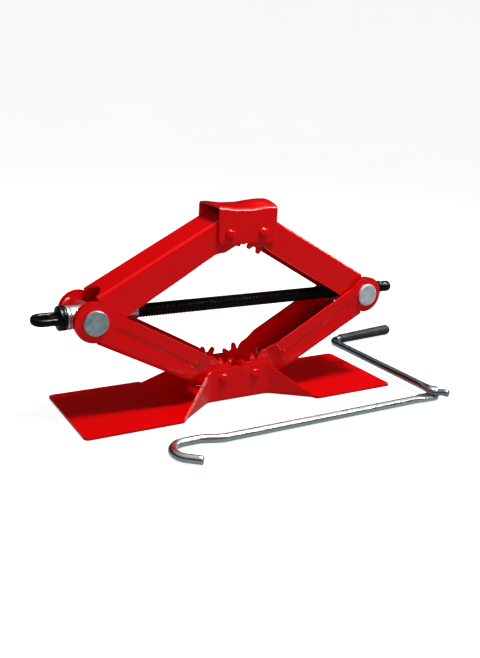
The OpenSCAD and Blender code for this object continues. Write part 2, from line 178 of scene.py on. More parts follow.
def red_paint():
    n = Nodes("red_paint")
    broad = n.noise(9, 2)
    fine = n.noise(700, 2)
    specks = n.noise(380, 5, 0.7)
    col = n.ramp(broad, [(0.3, (0.70, 0.0025, 0.006)), (0.7, (0.79, 0.004, 0.007))])
    # lighter, pinker paint on the sharpest edges: partly thinned paint, partly a painted highlight; and a few small
    # dark chips there
    edge_wear_and_highlight = n.math("MULTIPLY", n.edge(0.57, 0.70), n.rangef(specks, 0.35, 1.0, 0.42, 0.56))
    col = n.mix(n.math("MULTIPLY", edge_wear_and_highlight, 0.75), col, (0.90, 0.26, 0.22))
    chips = n.math("MULTIPLY", n.edge(0.55, 0.64), n.rangef(n.noise(210, 6, 0.75), 0.0, 1.0, 0.70, 0.72))
    col = n.mix(chips, col, (0.10, 0.085, 0.08))
    n.set(Base_Color=col)
    n.set(Roughness=n.rangef(n.noise(70, 4), 0.20, 0.30))
    n.b.inputs["Coat Weight"].default_value = 0.65
    n.b.inputs["Coat Roughness"].default_value = 0.04
    n.b.inputs["Specular IOR Level"].default_value = 0.28
    n.bump((n.noise(45, 2), 0.0005, 0.10), (fine, 0.00005, 0.2))
    return n.m


def zinc(name, tint, rough=(0.24, 0.42), turned=None, dark=0.55):
    n = Nodes(name)
    patch = n.noise(160, 5, 0.6)
    cloud = n.noise(38, 3)
    col = n.ramp(patch, [(0.3, tuple(c * dark for c in tint)), (0.62, tint)])
    col = n.mix(n.rangef(cloud, 0.0, 0.45, 0.45, 0.7), col, (tint[0] * 0.75, tint[1] * 0.8, tint[2] * 0.86))
    # whiter on the sharpest edges: a painted highlight
    col = n.mix(n.math("MULTIPLY", n.edge(0.54, 0.62), 0.6), col, (0.95, 0.96, 0.97))
    n.set(Base_Color=col, Metallic=1.0)
    n.set(Roughness=n.rangef(patch, rough[0], rough[1], 0.3, 0.7))
    layers = [(n.noise(700, 3), 0.00006, 0.3)]
    if turned:
        # faint turning marks: rings about the axis of the pin
        sep = n.new("ShaderNodeSeparateXYZ")
        n.link(n.co, sep.inputs[0])
        x = n.math("SUBTRACT", sep.outputs[0], turned[0] * MM)
        z = n.math("SUBTRACT", sep.outputs[2], turned[1] * MM)
        d = n.math("SQRT", n.math("ADD", n.math("MULTIPLY", x, x), n.math("MULTIPLY", z, z)), 0)
        layers.append((n.math("SINE", n.math("MULTIPLY", d, 7500.0), 0), 0.00005, 0.35))
    n.bump(*layers)
    return n.m


def bar_zinc(name, tint, low):
    # drawn bar: long faint streaks and a mottled plating
    n = Nodes(name)
    streak = n.noise(40, 3, 0.5, stretch=(0.3, 3, 3))
    patch = n.noise(90, 3, 0.5)
    col = n.ramp(streak, [(0.3, low), (0.62, tint)])
    col = n.mix(n.rangef(patch, 0.0, 0.25, 0.5, 0.8), col, (0.55, 0.57, 0.57))
    n.set(Base_Color=col, Metallic=1.0)
    n.set(Roughness=n.rangef(patch, 0.26, 0.34, 0.3, 0.7))
    n.bump((streak, 0.00005, 0.12), (n.noise(700, 2), 0.00003, 0.15))
    return n.m


def black_oxide(name="black_oxide"):
    n = Nodes(name)
    patch = n.noise(120, 5, 0.65)
    col = n.ramp(patch, [(0.3, (0.0025, 0.0025, 0.003)), (0.7, (0.008, 0.008, 0.009))])
    # lighter on the sharpest edges: a painted highlight
    col = n.mix(n.math("MULTIPLY", n.edge(0.53, 0.62), 0.25), col, (0.10, 0.10, 0.11))
    n.set(Base_Color=col)
    n.set(Roughness=n.rangef(n.noise(90, 4), 0.22, 0.42, 0.3, 0.7))
    n.bump((n.noise(260, 4, 0.65), 0.0002, 0.3))
    return n.m


def grip_plastic():
    n = Nodes("grip_plastic")
    grain = n.noise(1500, 3, 0.6)
    col = n.ramp(n.noise(50, 4), [(0.3, (0.034, 0.034, 0.036)), (0.7, (0.058, 0.058, 0.06))])
    # lighter on the sharpest edges: a painted highlight
    col = n.mix(n.math("MULTIPLY", n.edge(0.53, 0.6), 0.3), col, (0.14, 0.14, 0.14))
    n.set(Base_Color=col)
    n.set(Roughness=n.rangef(n.noise(120, 4), 0.36, 0.5, 0.3, 0.7))
    n.bump((grain, 0.00008, 0.35))
    return n.m


def brass():
    n = Nodes("cage_brass")
    n.set(Base_Color=n.ramp(n.noise(200, 4), [(0.3, (0.5, 0.33, 0.12)), (0.7, (0.72, 0.53, 0.24))]), Metallic=1.0)
    n.set(Roughness=n.rangef(n.noise(300, 3), 0.25, 0.45))
    n.bump((n.noise(800, 3), 0.00005, 0.3))
    return n.m


RED = red_paint()
ZINC = zinc("zinc_plate", (0.78, 0.80, 0.82))
CAPL = zinc("zinc_cap_left", (0.70, 0.77, 0.81), (0.34, 0.50), (PXL, PZ1), 0.55)
CAPR = zinc("zinc_cap_right", (0.90, 0.93, 0.95), (0.46, 0.62), (PXR, PZ1), 0.8)
BRIGHT = zinc("bearing_steel", (0.80, 0.82, 0.83), (0.34, 0.44), None, 0.88)
BAR = bar_zinc("zinc_bar", (0.80, 0.83, 0.84), (0.68, 0.72, 0.73))
CRANK = bar_zinc("zinc_bar_crank", (0.52, 0.58, 0.62), (0.42, 0.46, 0.49))
BLACK = black_oxide()
GRIP = grip_plastic()
BRASS = brass()


# ------------------------------------------------------------ mesh helpers
def mesh_object(name, verts, faces, mat, body, nodes, rim=None, smooth=True, sharp=None):
    me = bpy.data.meshes.new(name)
    me.from_pydata([tuple(float(c) * MM for c in v) for v in verts], [], [tuple(int(i) for i in f) for f in faces])
    me.validate()
    me.update()
    ob = bpy.data.objects.new(name, me)
    scene.collection.objects.link(ob)
    me.materials.append(mat)
    bm = bmesh.new()
    bm.from_mesh(me)
    if rim is None:
        bmesh.ops.remove_doubles(bm, verts=bm.verts, dist=1e-7)
    bmesh.ops.recalc_face_normals(bm, faces=bm.faces)
    bm.to_mesh(me)
    bm.free()
    for p in me.polygons:
        p.use_smooth = smooth
    if sharp is not None:
        me.set_sharp_from_angle(angle=math.radians(sharp))
    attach(ob, body)
    if nodes:
        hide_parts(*nodes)
    return ob


def inside(pts, loops):
    """Even-odd test of points against closed loops, all numpy."""
    res = np.zeros(len(pts), bool)
    x, y = pts[:, 0][:, None], pts[:, 1][:, None]
    for lp in loops:
        p = np.asarray(lp, float)
        q = np.roll(p, -1, 0)
        c = (p[:, 1][None] > y) != (q[:, 1][None] > y)
        with np.errstate(divide="ignore", invalid="ignore"):
            xi = (q[:, 0] - p[:, 0])[None] * (y - p[:, 1][None]) / (q[:, 1] - p[:, 1])[None] + p[:, 0][None]
        res ^= (np.sum(c & (x < xi), 1) % 2).astype(bool)
    return res


def near(pts, loops, d):
    """True where a point lies within d of any loop's edges."""
    res = np.zeros(len(pts), bool)
    for lp in loops:
        p = np.asarray(lp, float)
        q = np.roll(p, -1, 0)
        for a0, b0 in zip(p, q):
            ab = b0 - a0
            t = np.clip(((pts - a0) @ ab) / max(ab @ ab, 1e-12), 0, 1)
            res |= np.hypot(*(pts - a0 - t[:, None] * ab).T) < d
    return res


def triangulate(loops, grid, keep=0.35):
    g = np.asarray(grid, float)
    g = g[inside(g, loops)]
    if len(g):
        g = g[~near(g, loops, keep)]
    verts, edges = [], []
    for lp in loops:
        k = len(verts)
        verts += [Vector((float(p[0]), float(p[1]))) for p in lp]
        edges += [(k + i, k + (i + 1) % len(lp)) for i in range(len(lp))]
    verts += [Vector((float(p[0]), float(p[1]))) for p in g]
    vo, eo, fo, *_ = delaunay_2d_cdt(verts, edges, [], 0, 1e-5)
    v = np.array([[p.x, p.y] for p in vo])
    f = np.array([list(t) for t in fo if len(t) == 3])
    c = v[f].mean(1)
    return v, f[inside(c, loops)]


def thicken(v3, tris, t, flip=False):
    """A closed sheet: v3 is its outer face, t its thickness inwards. Returns verts, faces and the rim's edges."""
    v3 = np.asarray(v3, float)
    tris = np.asarray(tris)
    if flip:
        tris = tris[:, ::-1]
    n = np.cross(v3[tris[:, 1]] - v3[tris[:, 0]], v3[tris[:, 2]] - v3[tris[:, 0]])
    vn = np.zeros_like(v3)
    for k in range(3):
        np.add.at(vn, tris[:, k], n)
    vn /= np.maximum(np.linalg.norm(vn, axis=1), 1e-12)[:, None]
    inner = v3 - vn * t
    N = len(v3)
    cnt = {}
    for tr in tris:
        for i in range(3):
            cnt[(tr[i], tr[(i + 1) % 3])] = 1
    rim = [(a0, b0) for (a0, b0) in cnt if (b0, a0) not in cnt]
    faces = [tuple(tr) for tr in tris] + [(tr[2] + N, tr[1] + N, tr[0] + N) for tr in tris]
    faces += [(b0, a0, a0 + N, b0 + N) for a0, b0 in rim]
    edges = set()
    for a0, b0 in rim:
        edges.add(frozenset((int(a0), int(b0))))
        edges.add(frozenset((int(a0 + N), int(b0 + N))))
    return np.vstack([v3, inner]), faces, edges


def sheet_part(name, v3, tris, t, mat, body, node, bevel=0.45, flip=False):
    v, f, rim = thicken(v3, tris, t, flip)
    ob = mesh_object(name, v, f, mat, body, [node], rim=rim)
    me = ob.data
    w = me.attributes.new("bevel_weight_edge", "FLOAT", "EDGE")
    for ed in me.edges:
        if frozenset(ed.vertices) in rim:
            w.data[ed.index].value = 1.0
    b = ob.modifiers.new("edge", "BEVEL")
    b.limit_method = "WEIGHT"
    b.width = bevel * MM
    b.segments = 2
    b.use_clamp_overlap = True
    b.loop_slide = False
    wn = ob.modifiers.new("normals", "WEIGHTED_NORMAL")
    wn.keep_sharp = False
    wn.weight = 80
    return ob


def resample(pts, step, closed=False):
    out = []
    n = len(pts)
    for i in range(n if closed else n - 1):
        a0, b0 = np.array(pts[i], float), np.array(pts[(i + 1) % n], float)
        k = max(1, int(math.ceil(np.linalg.norm(b0 - a0) / step)))
        out += [a0 + (b0 - a0) * j / k for j in range(k)]
    if not closed:
        out.append(np.array(pts[-1], float))
    return out


def lathe(name, profile, centre, axis, mat, body, nodes, seg=64, sharp=35):
    """profile: (distance along the axis, radius) points, closed on themselves."""
    axis = Vector(axis).normalized()
    ux = axis.orthogonal().normalized()
    uy = axis.cross(ux)
    c = Vector(centre)
    verts, faces = [], []
    k = len(profile)
    for j in range(seg):
        t = 2 * math.pi * j / seg
        d = ux * math.cos(t) + uy * math.sin(t)
        for h, rr in profile:
            verts.append(c + axis * h + d * max(rr, 0.0))
    for j in range(seg):
        j2 = (j + 1) % seg
        for i in range(k):
            i2 = (i + 1) % k
            if profile[i][1] <= 1e-6 and profile[i2][1] <= 1e-6:
                continue
            q = [j * k + i, j * k + i2, j2 * k + i2, j2 * k + i]
            faces.append(q)
    me = bpy.data.meshes.new(name)
    me.from_pydata([tuple(v * MM) for v in verts], [], faces)
    bm = bmesh.new()
    bm.from_mesh(me)
    bmesh.ops.remove_doubles(bm, verts=bm.verts, dist=2e-7)
    bmesh.ops.dissolve_degenerate(bm, edges=bm.edges, dist=1e-8)
    bmesh.ops.recalc_face_normals(bm, faces=bm.faces)
    bm.to_mesh(me)
    bm.free()
    for p in me.polygons:
        p.use_smooth = True
    me.set_sharp_from_angle(angle=math.radians(sharp))
    ob = bpy.data.objects.new(name, me)
    scene.collection.objects.link(ob)
    me.materials.append(mat)
    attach(ob, body)
    if nodes:
        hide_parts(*nodes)
    return ob


def joined(name, obs, mat, body, nodes):
    """Several meshes as one piece."""
    bm = bmesh.new()
    for o in obs:
        bm.from_mesh(o.data)
    me = bpy.data.meshes.new(name)
    bm.to_mesh(me)
    bm.free()
    for o in obs:
        d = o.data
        bpy.data.objects.remove(o)
        bpy.data.meshes.remove(d)
    for p in me.polygons:
        p.material_index = 0
    me.set_sharp_from_angle(angle=math.radians(35))
    ob = bpy.data.objects.new(name, me)
    scene.collection.objects.link(ob)
    me.materials.append(mat)
    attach(ob, body)
    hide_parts(*nodes)
    return ob


def rounded_profile(points, radii, n=5):
    out = []
    k = len(points)
    for i in range(k):
        p0, p1, p2 = (Vector((*points[j % k], 0)) for j in (i - 1, i, i + 1))
        rr = radii[i]
        if rr <= 0:
            out.append((p1.x, p1.y))
            continue
        a0, b0 = (p0 - p1).normalized(), (p2 - p1).normalized()
        h = a0.angle(b0) / 2
        d = rr / math.tan(h)
        c = p1 + (a0 + b0).normalized() * (rr / math.sin(h))
        s, e2 = p1 + a0 * d - c, p1 + b0 * d - c
        t0 = math.atan2(s.y, s.x)
        dt = (math.atan2(e2.y, e2.x) - t0 + math.pi) % (2 * math.pi) - math.pi
        out += [(c.x + rr * math.cos(t0 + dt * j / n), c.y + rr * math.sin(t0 + dt * j / n)) for j in range(n + 1)]
    return out


def sm(t):
    t = min(1.0, max(0.0, t))
    return t * t * (3 - 2 * t)


# --------------------------------------------------------------- the arms
PITCH, PA, TIP, ROOT, N_T = BX, math.radians(20), 22.4, 14.9, 10
RB = PITCH * math.cos(PA)


def inv(x):
    return math.tan(x) - x


TT = math.pi * PITCH / N_T - 0.25


def tooth_half(rr):
    return math.degrees(TT / 2 / PITCH + inv(PA) - inv(math.acos(min(1, RB / rr))))


_rs = np.linspace(RB, TIP - 0.4, 40)
_hs = np.array([tooth_half(x) for x in _rs])


def gear_r(angle, teeth):
    best = ROOT
    for c in teeth:
        d = abs((angle - c + 180) % 360 - 180)
        if d <= _hs[-1]:
            best = max(best, TIP - 0.4 * (d / max(_hs[-1], 1e-6)) ** 2)
        elif d <= _hs[0]:
            best = max(best, float(np.interp(-d, -_hs, _rs)))
    return best


def gear_outline(teeth, a_from, a_to, arm_edge, step=0.6):
    """Outline of the toothed end, from a_from down to a_to, about the gear pin."""
    an = np.arange(a_from, a_to - 1e-6, -step)
    rr = np.array([gear_r(x, teeth) for x in an])
    k = np.exp(-0.5 * (np.arange(-9, 10) * step / 2.1) ** 2)
    rr = np.convolve(np.pad(rr, 9, mode="edge"), k / k.sum(), mode="valid")
    out = []
    for x, q in zip(an, rr):
        t = math.radians(x)
        # the arm's own edge, where it stands outside the gear
        for (s0, n0), (s1, n1) in zip(arm_edge[:-1], arm_edge[1:]):
            dx, dy = math.cos(t), math.sin(t)
            ex, ey = s1 - s0, n1 - n0
            den = dx * ey - dy * ex
            if abs(den) > 1e-9:
                k1 = ((s0 - L) * ey - n0 * ex) / den
                k2 = ((s0 - L) * dy - n0 * dx) / den
                if k1 > 0 and -1e-6 <= k2 <= 1 + 1e-6:
                    q = max(q, k1)
        out.append((L + q * math.cos(t), q * math.sin(t)))
    return out


def channel(name, body, node, side, upper, teeth):
    """A pressed channel arm with its bends, flutes and teeth. side is -1 for the arm on the -X side."""
    rb = 3.5 if upper else 4.2
    s_lo = 13.6
    sheet = 2.5

    def W(s):
        return 21.2 if upper else 26 + (21.2 - 26) * sm((s - 120) / 17)

    def nb(s):
        return -18.0 if upper else -18.32 + 1.99 * min(1, max(0, (s - 12.6) / (L - 21.6)))

    def to_u(s, n):
        return 2 + (n - nb(s) - rb) / 10

    half = []
    for y in np.linspace(0, 16.4, 9):
        s = 6.5 + math.sqrt(18.2 ** 2 - y * y)
        half.append((s, y / (W(s) - rb)))
    s_w = 14.3
    half += [(s_w, 0.97), (s_w, 1.0), (s_w, 1.25), (s_w, 1.5), (s_w, 1.75), (s_w, 2.0), (13.7, 2.07), (13.0, 2.0)]
    R = 19.4 if upper else 19.8
    a_end = 50.5 if upper else 56.5
    for an in np.arange(-48, -360 + a_end - 0.1, -5):
        half.append((R * math.cos(math.radians(an)), to_u(0, R * math.sin(math.radians(an)))))
    if upper and len(teeth) < 4:
        top = [(R * math.cos(math.radians(a_end)), 15.0), (20, 15), (L - 60, 12.6), (L - 38, 11.4), (L - 22, 11.0)]
        edge = [(L - 38, 11.4), (L - 22, 11.0), (L - 17.5, 12.2), (L - 12.8, 14.4), (L - 5.5, 14.9), (L - 1.5, 14.6), (L - 6, 0)]
    elif upper:
        top = [(R * math.cos(math.radians(a_end)), 15.0), (20, 15), (L - 40, 13), (L - 18, 12.6)]
        edge = [(L - 40, 13), (L - 18, 12.6), (L - 10, 11), (L - 6, 0)]
    else:
        top = [(R * math.cos(math.radians(a_end)), 16.4), (16, 16.3), (L - 19, 15.6)]
        edge = [(L - 40, 15.9), (L - 17, 15.5), (L - 12, 13.4), (L - 6, 0)]
    top = resample(top, 4)
    go = gear_outline(teeth, 143, -45, edge)
    top = [p for p in top if p[0] < go[0][0] - 0.8]
    for s, n in top + go:
        half.append((s, to_u(s, n)))
    for an in np.arange(-46, -68 if upper else -122, -5):
        q = 19.3
        half.append((L + q * math.cos(math.radians(an)), to_u(L, q * math.sin(math.radians(an)))))
    x_w = L + 5 if upper else L - 11.2
    half += [(x_w + 1.6, 2.0), (x_w + 0.8, 2.07), (x_w, 2.0), (x_w, 1.75), (x_w, 1.5), (x_w, 1.25), (x_w, 1.0), (x_w, 0.75), (x_w, 0.5), (x_w, 0.25)]
    KU = 8.0  # scales u so that triangles come out even
    loop = [(s, u * KU) for s, u in half] + [(x_w, 0)] + [(s, -u * KU) for s, u in half[:0:-1]]
    holes = []
    for sg in (1, -1):
        for c, q, k in ((0, 8.1, 28), (L, 4.1, 20)):
            holes.append([(c + q * math.cos(2 * math.pi * i / k), sg * KU * to_u(c, q * math.sin(2 * math.pi * i / k))) for i in range(k)])
    us = [0, .25, .5, .75, .95, 1.0, 1.12, 1.25, 1.38, 1.5, 1.62, 1.75, 1.88, 2.0, 2.12]
    us += [2.3, 2.5, 2.7, 2.9, 3.02, 3.1, 3.18, 3.26, 3.34, 3.42, 3.5, 3.6, 3.7, 3.8, 3.9, 4.0, 4.15, 4.3, 4.5, 4.8, 5.1, 5.4, 5.7]
    ss = list(np.arange(-21, L + 25, 3.0)) + list(np.arange(118.5, 140, 3.0))
    grid = [(s, sg * u * KU) for s in sorted(ss) for u in us for sg in (1, -1)]
    v, f = triangulate([loop] + holes, grid)

    def place(s, U):
        u = abs(U) / KU
        sg = 1 if U >= 0 else -1
        w, b0 = W(s), nb(s)
        flat = s < s_lo or s > (x_w + 0.7)
        if u >= 2 or flat:
            y, n = w, b0 + rb + (u - 2) * 10
        elif u >= 1:
            p = (u - 1) * math.pi / 2
            y, n = w - rb + rb * math.sin(p), b0 + rb - rb * math.cos(p)
        else:
            y, n = u * (w - rb), b0
        if not upper:
            # pressed flute: a shallow soft-sided groove along the wall
            ends = sm((s - 17) / 12) * sm((134 - s) / 14)
            c0 = 0.4 - 2.6 * (s - 20) / 108
            g = math.exp(-abs((n - c0) / 3.6) ** 3)
            if u > 2:
                y -= 0.75 * ends * g
            # raised pad round the outer pin
            d = math.hypot(s, n)
            y += 0.25 * sm((16.2 - d) / 1.6)
        else:
            # the wall's open edge leans in a little, as a pressed channel's does
            if u > 2:
                y -= 0.25 * sm((n + 6) / 20) * sm((s - 20) / 20) * sm((L - 30 - s) / 20)
            elif u < 1:
                n += 0.35 * (1 - u * u) * sm((s - 26) / 16) * sm((L - 12 - s) / 16)
        return s, sg * y, n

    p3 = np.array([place(s, U) for s, U in v])
    th = math.radians(TH)
    z = p3[:, 2]
    if upper:
        x3 = p3[:, 0] * math.cos(th) + z * math.sin(th)
        z3 = p3[:, 0] * math.sin(th) - z * math.cos(th)
    else:
        x3 = p3[:, 0] * math.cos(th) + z * math.sin(th)
        z3 = -p3[:, 0] * math.sin(th) + z * math.cos(th)
    x3 = PXL + x3
    if side > 0:
        x3 = -x3
    w3 = np.stack([x3, p3[:, 1], PZ1 + z3], 1)
    # the outer face must look away from the channel's inside
    i = int(np.argmin(abs(v[:, 1]) + abs(v[:, 0] - 60) * 0.05))
    tri = f[np.any(f == i, 1)][0]
    nrm = np.cross(w3[tri[1]] - w3[tri[0]], w3[tri[2]] - w3[tri[0]])
    want_up = 1 if upper else -1
    return sheet_part(name, w3, f, sheet, RED, body, node, flip=(nrm[2] * want_up < 0))


tl = [TH - 45 + 36 * i for i in range(5)]
tr_ = [TH - 27 + 36 * i for i in range(4)]
channel("pressed_lower_arm_left", "arm_lower_left", "lower_arm_left", -1, False, tl)
channel("pressed_lower_arm_right", "arm_lower_right", "lower_arm_right", 1, False, tr_)
channel("pressed_upper_arm_left", "arm_upper_left", "upper_arm_left", -1, True, tl[:3])
channel("pressed_upper_arm_right", "arm_upper_right", "upper_arm_right", 1, True, tr_)


# --------------------------------------------------------------- the base
def base():
    T = 2.5
    hx, hy = 182.0, 58.0
    fl = Vector((80.66 - 36, 58 - 24)).normalized()
    q = [(36, 24), (80.66, 58), (hx, hy), (hx, -hy), (80.66, -58), (36, -24), (-36, -24), (-80.66, -58), (-hx, -hy), (-hx, hy), (-80.66, 58), (-36, 24)]
    rad = [14, 10, 5, 5, 10, 14, 14, 10, 5, 5, 10, 14]
    pts = rounded_profile(q, rad, 10)
    pts = [tuple(p) for p in resample(pts, 2.5, closed=True)]

    def height(x):
        x = abs(x)
        prof = rounded_profile([(-80.5, 2.5), (-32, 36.5), (32, 36.5), (80.5, 2.5)], [0, 9, 9, 0], 8)
        xs = [p[0] for p in prof]
        zs = [p[1] for p in prof]
        h = float(np.interp(x, xs, zs))
        return max(0.0, (h - 2.5) * 36.5 / 34.0) if x < 80.5 else 0.0

    n = len(pts)
    cols = []
    nrm = []
    for i in range(n):
        a0, b0 = Vector(pts[i - 1]), Vector(pts[(i + 1) % n])
        d = (b0 - a0).normalized()
        nrm.append(Vector((d.y, -d.x)))  # outward or inward, fixed below
    c0 = Vector(pts[2])
    sgn = 1
    # outward means away from the middle at the wing's far edge
    k = max(range(n), key=lambda i: pts[i][0])
    if nrm[k].x < 0:
        sgn = -1
    J = [0.0, 0.2, 0.4, 0.6, 0.8, 1.0]
    V = []
    idx = []
    for i in range(n):
        P, N = Vector(pts[i]), nrm[i] * sgn
        # walls stand only along the waist
        H = height(P.x) if abs(P.x) < 80.6 and abs(P.y) < 57.99 else 0.0
        R = min(3.5, H * 0.75)
        col = []
        if H <= 1e-6:
            V.append((P.x, P.y, 0.0))
            idx.append([len(V) - 1] * 14)
            continue
        for j in range(7):
            t = math.pi / 2 * j / 6
            o = P - N * (R - R * math.sin(t))
            col.append((o.x, o.y, R - R * math.cos(t)))
        for j in range(1, 8):
            z = R + (H - R) * j / 7
            col.append((P.x, P.y, z))
        s = len(V)
        V += col
        idx.append(list(range(s, s + 14)))
    loop = [V[c[0]][:2] for c in idx]
    grid = [(x, y) for x in np.arange(-180, 181, 7.0) for y in np.arange(-56, 57, 7.0)]
    v2, f2 = triangulate([loop], grid, 1.0)
    base_index = {}
    for c in idx:
        base_index[(round(V[c[0]][0], 3), round(V[c[0]][1], 3))] = c[0]
    remap = []
    for p in v2:
        key = (round(float(p[0]), 3), round(float(p[1]), 3))
        if key in base_index:
            remap.append(base_index[key])
        else:
            V.append((float(p[0]), float(p[1]), 0.0))
            remap.append(len(V) - 1)
    tris = []
    for t in f2:
        a0, b0, c1 = (remap[int(i)] for i in t)
        A, B, C = (Vector(V[i]) for i in (a0, b0, c1))
        if (B - A).cross(C - A).z > 0:
            b0, c1 = c1, b0
        tris.append((a0, b0, c1))
    for i in range(n):
        c1, c2 = idx[i], idx[(i + 1) % n]
        for j in range(13):
            quad = [c1[j], c2[j], c2[j + 1], c1[j + 1]]
            for t in ((quad[0], quad[1], quad[2]), (quad[0], quad[2], quad[3])):
                if len(set(t)) < 3:
                    continue
                A, B, C = (Vector(V[i2]) for i2 in t)
                nn = (B - A).cross(C - A)
                o = nrm[i] * sgn
                if nn.length < 1e-9:
                    continue
                if nn.x * o.x + nn.y * o.y - nn.z * (1 if j < 6 else 0) < 0:
                    t = (t[0], t[2], t[1])
                tris.append(t)
    # drop the pins' holes: the pins' heads cover them
    return sheet_part("pressed_base", np.array(V), np.array(tris), T, RED, "base", "base_plate", bevel=0.5)


base()


# -------------------------------------------------------------- the saddle
def saddle():
    rb, Wd, sheet = 4.2, 24.0, 2.5
    hx = 33.0
    zb = SZ - 10

    def zt(x):
        e0 = SZ + 25.8
        return e0 + (1.7 * sm((-x - 8) / 18) if x < 0 else 2.1 * sm((x - 6) / 22))

    def crown(x):
        return 1.3 + 1.9 * sm((x - 4) / 24) - 0.3 * sm((-x - 6) / 16)

    def to_u(x, z):
        return 2 + (zt(x) - rb - z) / 10

    KU = 8.0
    half = []
    side = rounded_profile([(-hx, zb), (hx, zb), (hx, zb + 60), (-hx, zb + 60)], [5.5, 5.5, 0, 0], 8)
    low = [p for p in side if p[1] < zb + 30]
    # from the left end down, along the bottom and up the right end
    path = [(-hx, z) for z in np.linspace(zt(-hx) - rb, zb + 6, 10)] + sorted(low, key=lambda p: p[0]) + [(hx, z) for z in np.linspace(zb + 6, zt(hx) - rb, 10)]
    left = [(-hx, u) for u in (0, .25, .5, .75, .95, 1, 1.2, 1.4, 1.6, 1.8)]
    rightp = [(hx, u) for u in (1.8, 1.6, 1.4, 1.2, 1, .95, .75, .5, .25, 0)]
    half = left + [(x, to_u(x, z)) for x, z in resample(path, 3)] + rightp
    loop = [(x, u * KU) for x, u in half] + [(x, -u * KU) for x, u in half[-2:0:-1]]
    holes = []
    for sg in (1, -1):
        for c in (-BX, BX):
            holes.append([(c + 4.05 * math.cos(2 * math.pi * i / 20), sg * KU * to_u(c, SZ + 4.05 * math.sin(2 * math.pi * i / 20))) for i in range(20)])
    us = [0, .12, .25, .38, .5, .62, .75, .88, 1, 1.14, 1.28, 1.42, 1.56, 1.7, 1.85, 2.0, 2.1, 2.25, 2.5, 2.8, 3.1, 3.4, 3.7, 4.0, 4.3, 4.6, 4.9, 5.2]
    grid = [(x, sg * u * KU) for x in np.arange(-31.5, 32, 2.1) for u in us for sg in (1, -1)]
    v, f = triangulate([loop] + holes, grid)
    P = []
    for x, U in v:
        u, sg = abs(U) / KU, (1 if U >= 0 else -1)
        z0 = zt(x)
        if u >= 2:
            y, z = Wd, z0 - rb - (u - 2) * 10
        elif u >= 1:
            p = (u - 1) * math.pi / 2
            y, z = Wd - rb + rb * math.sin(p), z0 - rb + rb * math.cos(p)
        else:
            y, z = u * (Wd - rb), z0 + crown(x) * (1 - (u * u)) ** 1.2
        # the ends aren't quite square: the right one stands out, the left one slants back
        x += 1.9 * sm((x - 22) / 11) + sm((-x - 22) / 11) * (0.9 + 1.4 * (sg * y / Wd + 1) / 2)
        P.append((x, sg * y, z))
    P = np.array(P)
    i = int(np.argmin(abs(v[:, 1]) + abs(v[:, 0]) * 0.05))
    tri = f[np.any(f == i, 1)][0]
    nn = np.cross(P[tri[1]] - P[tri[0]], P[tri[2]] - P[tri[0]])
    return sheet_part("pressed_saddle", P, f, sheet, RED, "load_saddle", "saddle", flip=nn[2] < 0)


saddle()


# ----------------------------------------------------- rivets and the pins
def rivet(name, x, z, body, node):
    y0, hr, hh, rr = 24.0, 5.6, 3.0, 4.0
    prof = [(-y0 - hh, 0)]
    prof += [(-y0 - 0.35 - (hh - 0.35) * math.sin(t), hr * math.cos(t)) for t in np.radians(np.arange(84, -1, -7))]
    prof += [(-y0 + 0.02, hr - 0.15), (-y0, rr), (y0, rr), (y0 - 0.02, hr - 0.15)]
    prof += [(y0 + 0.35 + (hh - 0.35) * math.sin(t), hr * math.cos(t)) for t in np.radians(np.arange(0, 85, 7))]
    prof += [(y0 + hh, 0)]
    return lathe(name, prof, (x, 0, z), (0, 1, 0), RED, body, [node], 48)


rivet("base_rivet_left", -BX, BZ, "base", "base_pin_left")
rivet("base_rivet_right", BX, BZ, "base", "base_pin_right")
rivet("saddle_rivet_left", -BX, SZ, "load_saddle", "saddle_pin_left")
rivet("saddle_rivet_right", BX, SZ, "load_saddle", "saddle_pin_right")


def caps(name, x, mat, body, node):
    obs = []
    for s in (-1, 1):
        prof = [(26.3 * s, 0), (26.3 * s, 11.9), (26.5 * s, 12.2), (27.0 * s, 12.35), (28.5 * s, 12.35), (29.0 * s, 12.15), (29.35 * s, 11.6), (29.5 * s, 10.8), (29.5 * s, 9), (29.46 * s, 4), (29.4 * s, 0)]
        o = lathe(name + str(s), prof, (x, 0, PZ1), (0, 1, 0), mat, body, [], 72)
        obs.append(o)
    return joined(name, obs, mat, body, [node])


caps("pin_heads_left", PXL, CAPL, "screw_pin_left", "trunnion_caps_left")
caps("pin_heads_right", PXR, CAPR, "screw_pin_right", "trunnion_caps_right")

# ------------------------------------------------- bearing, screw and eye
lathe("bearing_bush", [(-15.6, 7.1), (-15.6, 10.8), (-15.2, 11.25), (-5.6, 11.25), (-5.4, 7.1)], (PXL, 0, PZ1), (1, 0, 0), BRIGHT, "screw_pin_left", ["bearing_sleeve"])
lathe("thrust_race", [(-17.1, 7.15), (-17.1, 11.4), (-16.8, 11.7), (-15.9, 11.7), (-15.65, 11.4), (-15.65, 7.15)], (PXL, 0, PZ1), (1, 0, 0), BRIGHT, "screw_pin_left", ["thrust_washer"])
lathe("bearing_cover", [(-20.8, 7.05), (-20.8, 11.3), (-20.5, 11.6), (-20.2, 11.7), (-18.0, 11.7), (-17.7, 11.5), (-17.6, 10.95), (-20.2, 10.9), (-20.2, 7.05)], (PXL, 0, PZ1), (1, 0, 0), BRIGHT, "screw", ["bearing_cup"])
lathe("thread_stop", [(11.6, 7.05), (11.6, 8.2), (12, 8.6), (45.2, 8.6), (45.7, 8.5), (51.1, 7.55), (51.5, 7.3), (51.5, 7.05)], (PXL, 0, PZ1), (1, 0, 0), ZINC, "screw", ["stop_sleeve"])


